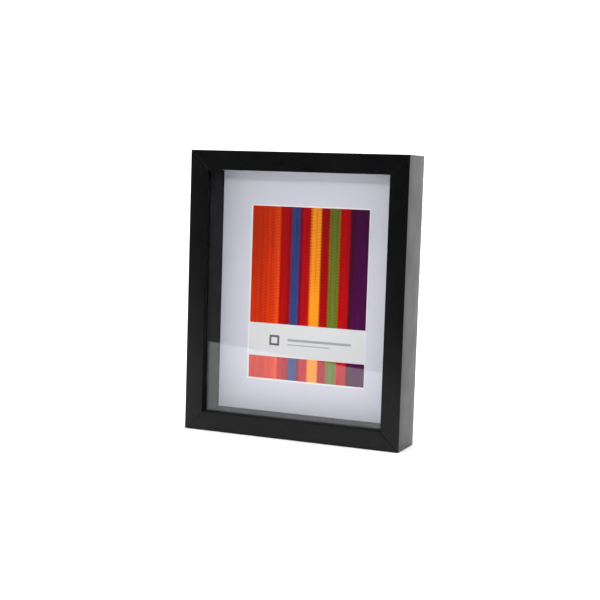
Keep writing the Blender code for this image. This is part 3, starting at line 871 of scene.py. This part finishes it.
def ring_grid():
    """A round wire carried along a triangle with rounded corners: each corner is an arc that
    touches both its sides. The triangle then leans out about its base, the X axis."""
    foot = math.atan2(ring_height, ring_base / 2)
    turn = math.degrees(foot)
    inset = ring_corner / math.tan(foot / 2)
    apex = ring_corner / math.cos(foot) - ring_height
    path = np.vstack([arc((inset - ring_base / 2, -ring_corner), ring_corner, 90, 180 - turn, 14),
                      arc((0, apex), ring_corner, 270 - turn, 2 * turn, 14),
                      arc((ring_base / 2 - inset, -ring_corner), ring_corner, 270 + turn, 180 - turn, 14)])
    ahead = np.roll(path, -1, 0) - np.roll(path, 1, 0)
    ahead /= np.linalg.norm(ahead, axis=1)[:, None]
    out = np.column_stack([ahead[:, 1], -ahead[:, 0]])
    angle = np.linspace(0, 2 * np.pi, 17)[:-1]
    flat = path[:, None, :] + wire_radius * np.cos(angle)[None, :, None] * out[:, None, :]
    raised = np.broadcast_to(wire_radius * np.sin(angle), flat.shape[:2])
    lean = math.radians(ring_lean)
    y = raised * math.cos(lean) - flat[..., 1] * math.sin(lean)
    z = flat[..., 1] * math.cos(lean) + raised * math.sin(lean)
    return np.stack([flat[..., 0], y, z], -1)


strap_finish = steel_finish("nickel_plated_strap", (0.44, 0.43, 0.405), 0.28, 0.7)
rivet_finish = steel_finish("nickel_plated_rivet", (0.48, 0.47, 0.445), 0.24, 0.3)
ring_finish = steel_finish("nickel_plated_wire", (0.50, 0.485, 0.46), 0.20, 0.4)
for name, turn in {"portrait": 0, "landscape": 90}.items():
    low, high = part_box("hanger_" + name + "_ring")
    axis_y = low.y + wire_radius
    if turn:
        axis = (high.x - wire_radius, axis_y, (low.z + high.z) / 2)
    else:
        axis = ((low.x + high.x) / 2, axis_y, high.z - wire_radius)
    head_under = -strap_bend + strap_sheet * 1.5 + strap_gap * 2 - rivet_press
    roll_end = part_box("hanger_" + name + "_rivet")[0].y - axis_y
    dome = arc((0, 0), 1.0, 0, 89, 10)
    rivet_profile = np.vstack([
        [(0.00004, roll_end), (rivet_head * 0.8, roll_end), (rivet_head, roll_end + 0.0002),
         (rivet_head * 0.9, roll_end + rivet_roll), (rivet_radius, roll_end + rivet_roll),
         (rivet_radius, head_under), (rivet_head * 0.97, head_under)],
        np.column_stack([rivet_head * dome[:, 0], head_under + rivet_rim + rivet_dome * dome[:, 1]]),
    ])
    rivet_shape = turned_grid(rivet_profile) - np.array([0, 0, rivet_place])
    strap = solid("folded_strap_" + name, turned_about_y(strap_grid(), turn, axis),
                  [strap_finish], sharp=40.0)
    rivet = solid("domed_rivet_" + name, turned_about_y(rivet_shape, turn, axis),
                  [rivet_finish], sharp=40.0)
    ring = solid("triangle_ring_" + name, turned_about_y(ring_grid(), turn, axis), [ring_finish],
                 closed_rows=True, sharp=60.0)
    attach(strap, "back")
    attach(rivet, "back")
    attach(ring, name + "_ring")
    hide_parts("hanger_" + name + "_strap")
    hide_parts("hanger_" + name + "_rivet")
    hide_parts("hanger_" + name + "_ring")

# ---------------------------------------------------------------------------------------
# Studio: a pale table, an even white room, a broad soft lamp overhead and a fainter one in
# front. A dark card in front, seen only in reflections, keeps the upper glass clear.
# ---------------------------------------------------------------------------------------

def flat_stage(name, corners, colour, roughness):
    """A plain four-cornered sheet for the set."""
    mesh = bpy.data.meshes.new(name)
    mesh.from_pydata(corners, [], [(0, 1, 2, 3)])
    finish, wire = new_finish(name + "_finish")
    show(wire.node("ShaderNodeBsdfPrincipled", None, {"Base Color": (*colour, 1.0), "Roughness": roughness}))
    mesh.materials.append(finish)
    made = bpy.data.objects.new(name, mesh)
    bpy.context.scene.collection.objects.link(made)
    return made


table_reach = 4.0
table_top = -0.0003
flag_height = 0.6
room_white = 1.60           # brightness of the room where it is seen or mirrored
room_light = 0.42           # brightness that it lends to dull surfaces
overhead_power = 3.95
front_power = 0.72
flag_ends = ((-1.5, -1.124), (0.9, -0.041))       # X and Y of the dark card's two lower corners
flat_stage("pale_table", [(-table_reach, -table_reach, table_top), (table_reach, -table_reach, table_top),
                          (table_reach, table_reach, table_top), (-table_reach, table_reach, table_top)],
           (0.90, 0.90, 0.90), 0.9)
flag = flat_stage("dark_card", [(*flag_ends[0], 0), (*flag_ends[1], 0), (*flag_ends[1], flag_height),
                                (*flag_ends[0], flag_height)], (0.012, 0.012, 0.014), 0.9)
flag.visible_camera = False
flag.visible_diffuse = False
flag.visible_shadow = False
flag.visible_transmission = False

room = bpy.data.worlds.new("white_room")
room.use_nodes = True
air = Wire(room.node_tree, room.node_tree.nodes["Background"].outputs[0])
ray = air.node("ShaderNodeLightPath")
seen = air.sum_node("MAXIMUM", ray, ray.other("Is Glossy Ray"))
strength = seen * (room_white - room_light) + room_light
room.node_tree.links.new(strength.socket, air.socket.node.inputs["Strength"])
air.socket.node.inputs["Color"].default_value = (1.0, 1.0, 1.0, 1.0)
bpy.context.scene.world = room
bpy.context.scene.view_settings.view_transform = "Standard"


def far_lamp(name, azimuth, elevation, spread, power):
    """An even lamp from far away. Azimuth 0 is in front of the box; all angles are in degrees."""
    data = bpy.data.lights.new(name, "SUN")
    data.angle = math.radians(spread)
    data.energy = power
    made = bpy.data.objects.new(name, data)
    made.rotation_euler = (math.radians(90 - elevation), 0, math.radians(azimuth))
    bpy.context.scene.collection.objects.link(made)
    return made


far_lamp("overhead_softbox", 0, 86, 60, overhead_power)
front_lamp = far_lamp("front_softbox", 8, 14.4, 5, front_power)
front_lamp.visible_glossy = False

aim = Vector((box_middle.x - 0.0011, 0, 0.1363))
azimuth, elevation, roll = math.radians(22.58), math.radians(5.475), math.radians(1.853)
distance = 1.2396
level = math.cos(elevation)
back = Vector((math.sin(azimuth) * level, -math.cos(azimuth) * level, math.sin(elevation)))
right = Vector((0, 0, 1)).cross(back).normalized()
above = back.cross(right)
tilted_right = right * math.cos(roll) + above * math.sin(roll)
tilted_above = above * math.cos(roll) - right * math.sin(roll)
camera_data = bpy.data.cameras.new("camera")
camera_data.lens = 75.26
camera_data.sensor_width = 36.0
camera = bpy.data.objects.new("camera", camera_data)
turn = Matrix((tilted_right, tilted_above, back)).transposed()
camera.matrix_world = Matrix.Translation(aim + back * distance) @ turn.to_4x4()
bpy.context.scene.collection.objects.link(camera)
bpy.context.scene.camera = camera
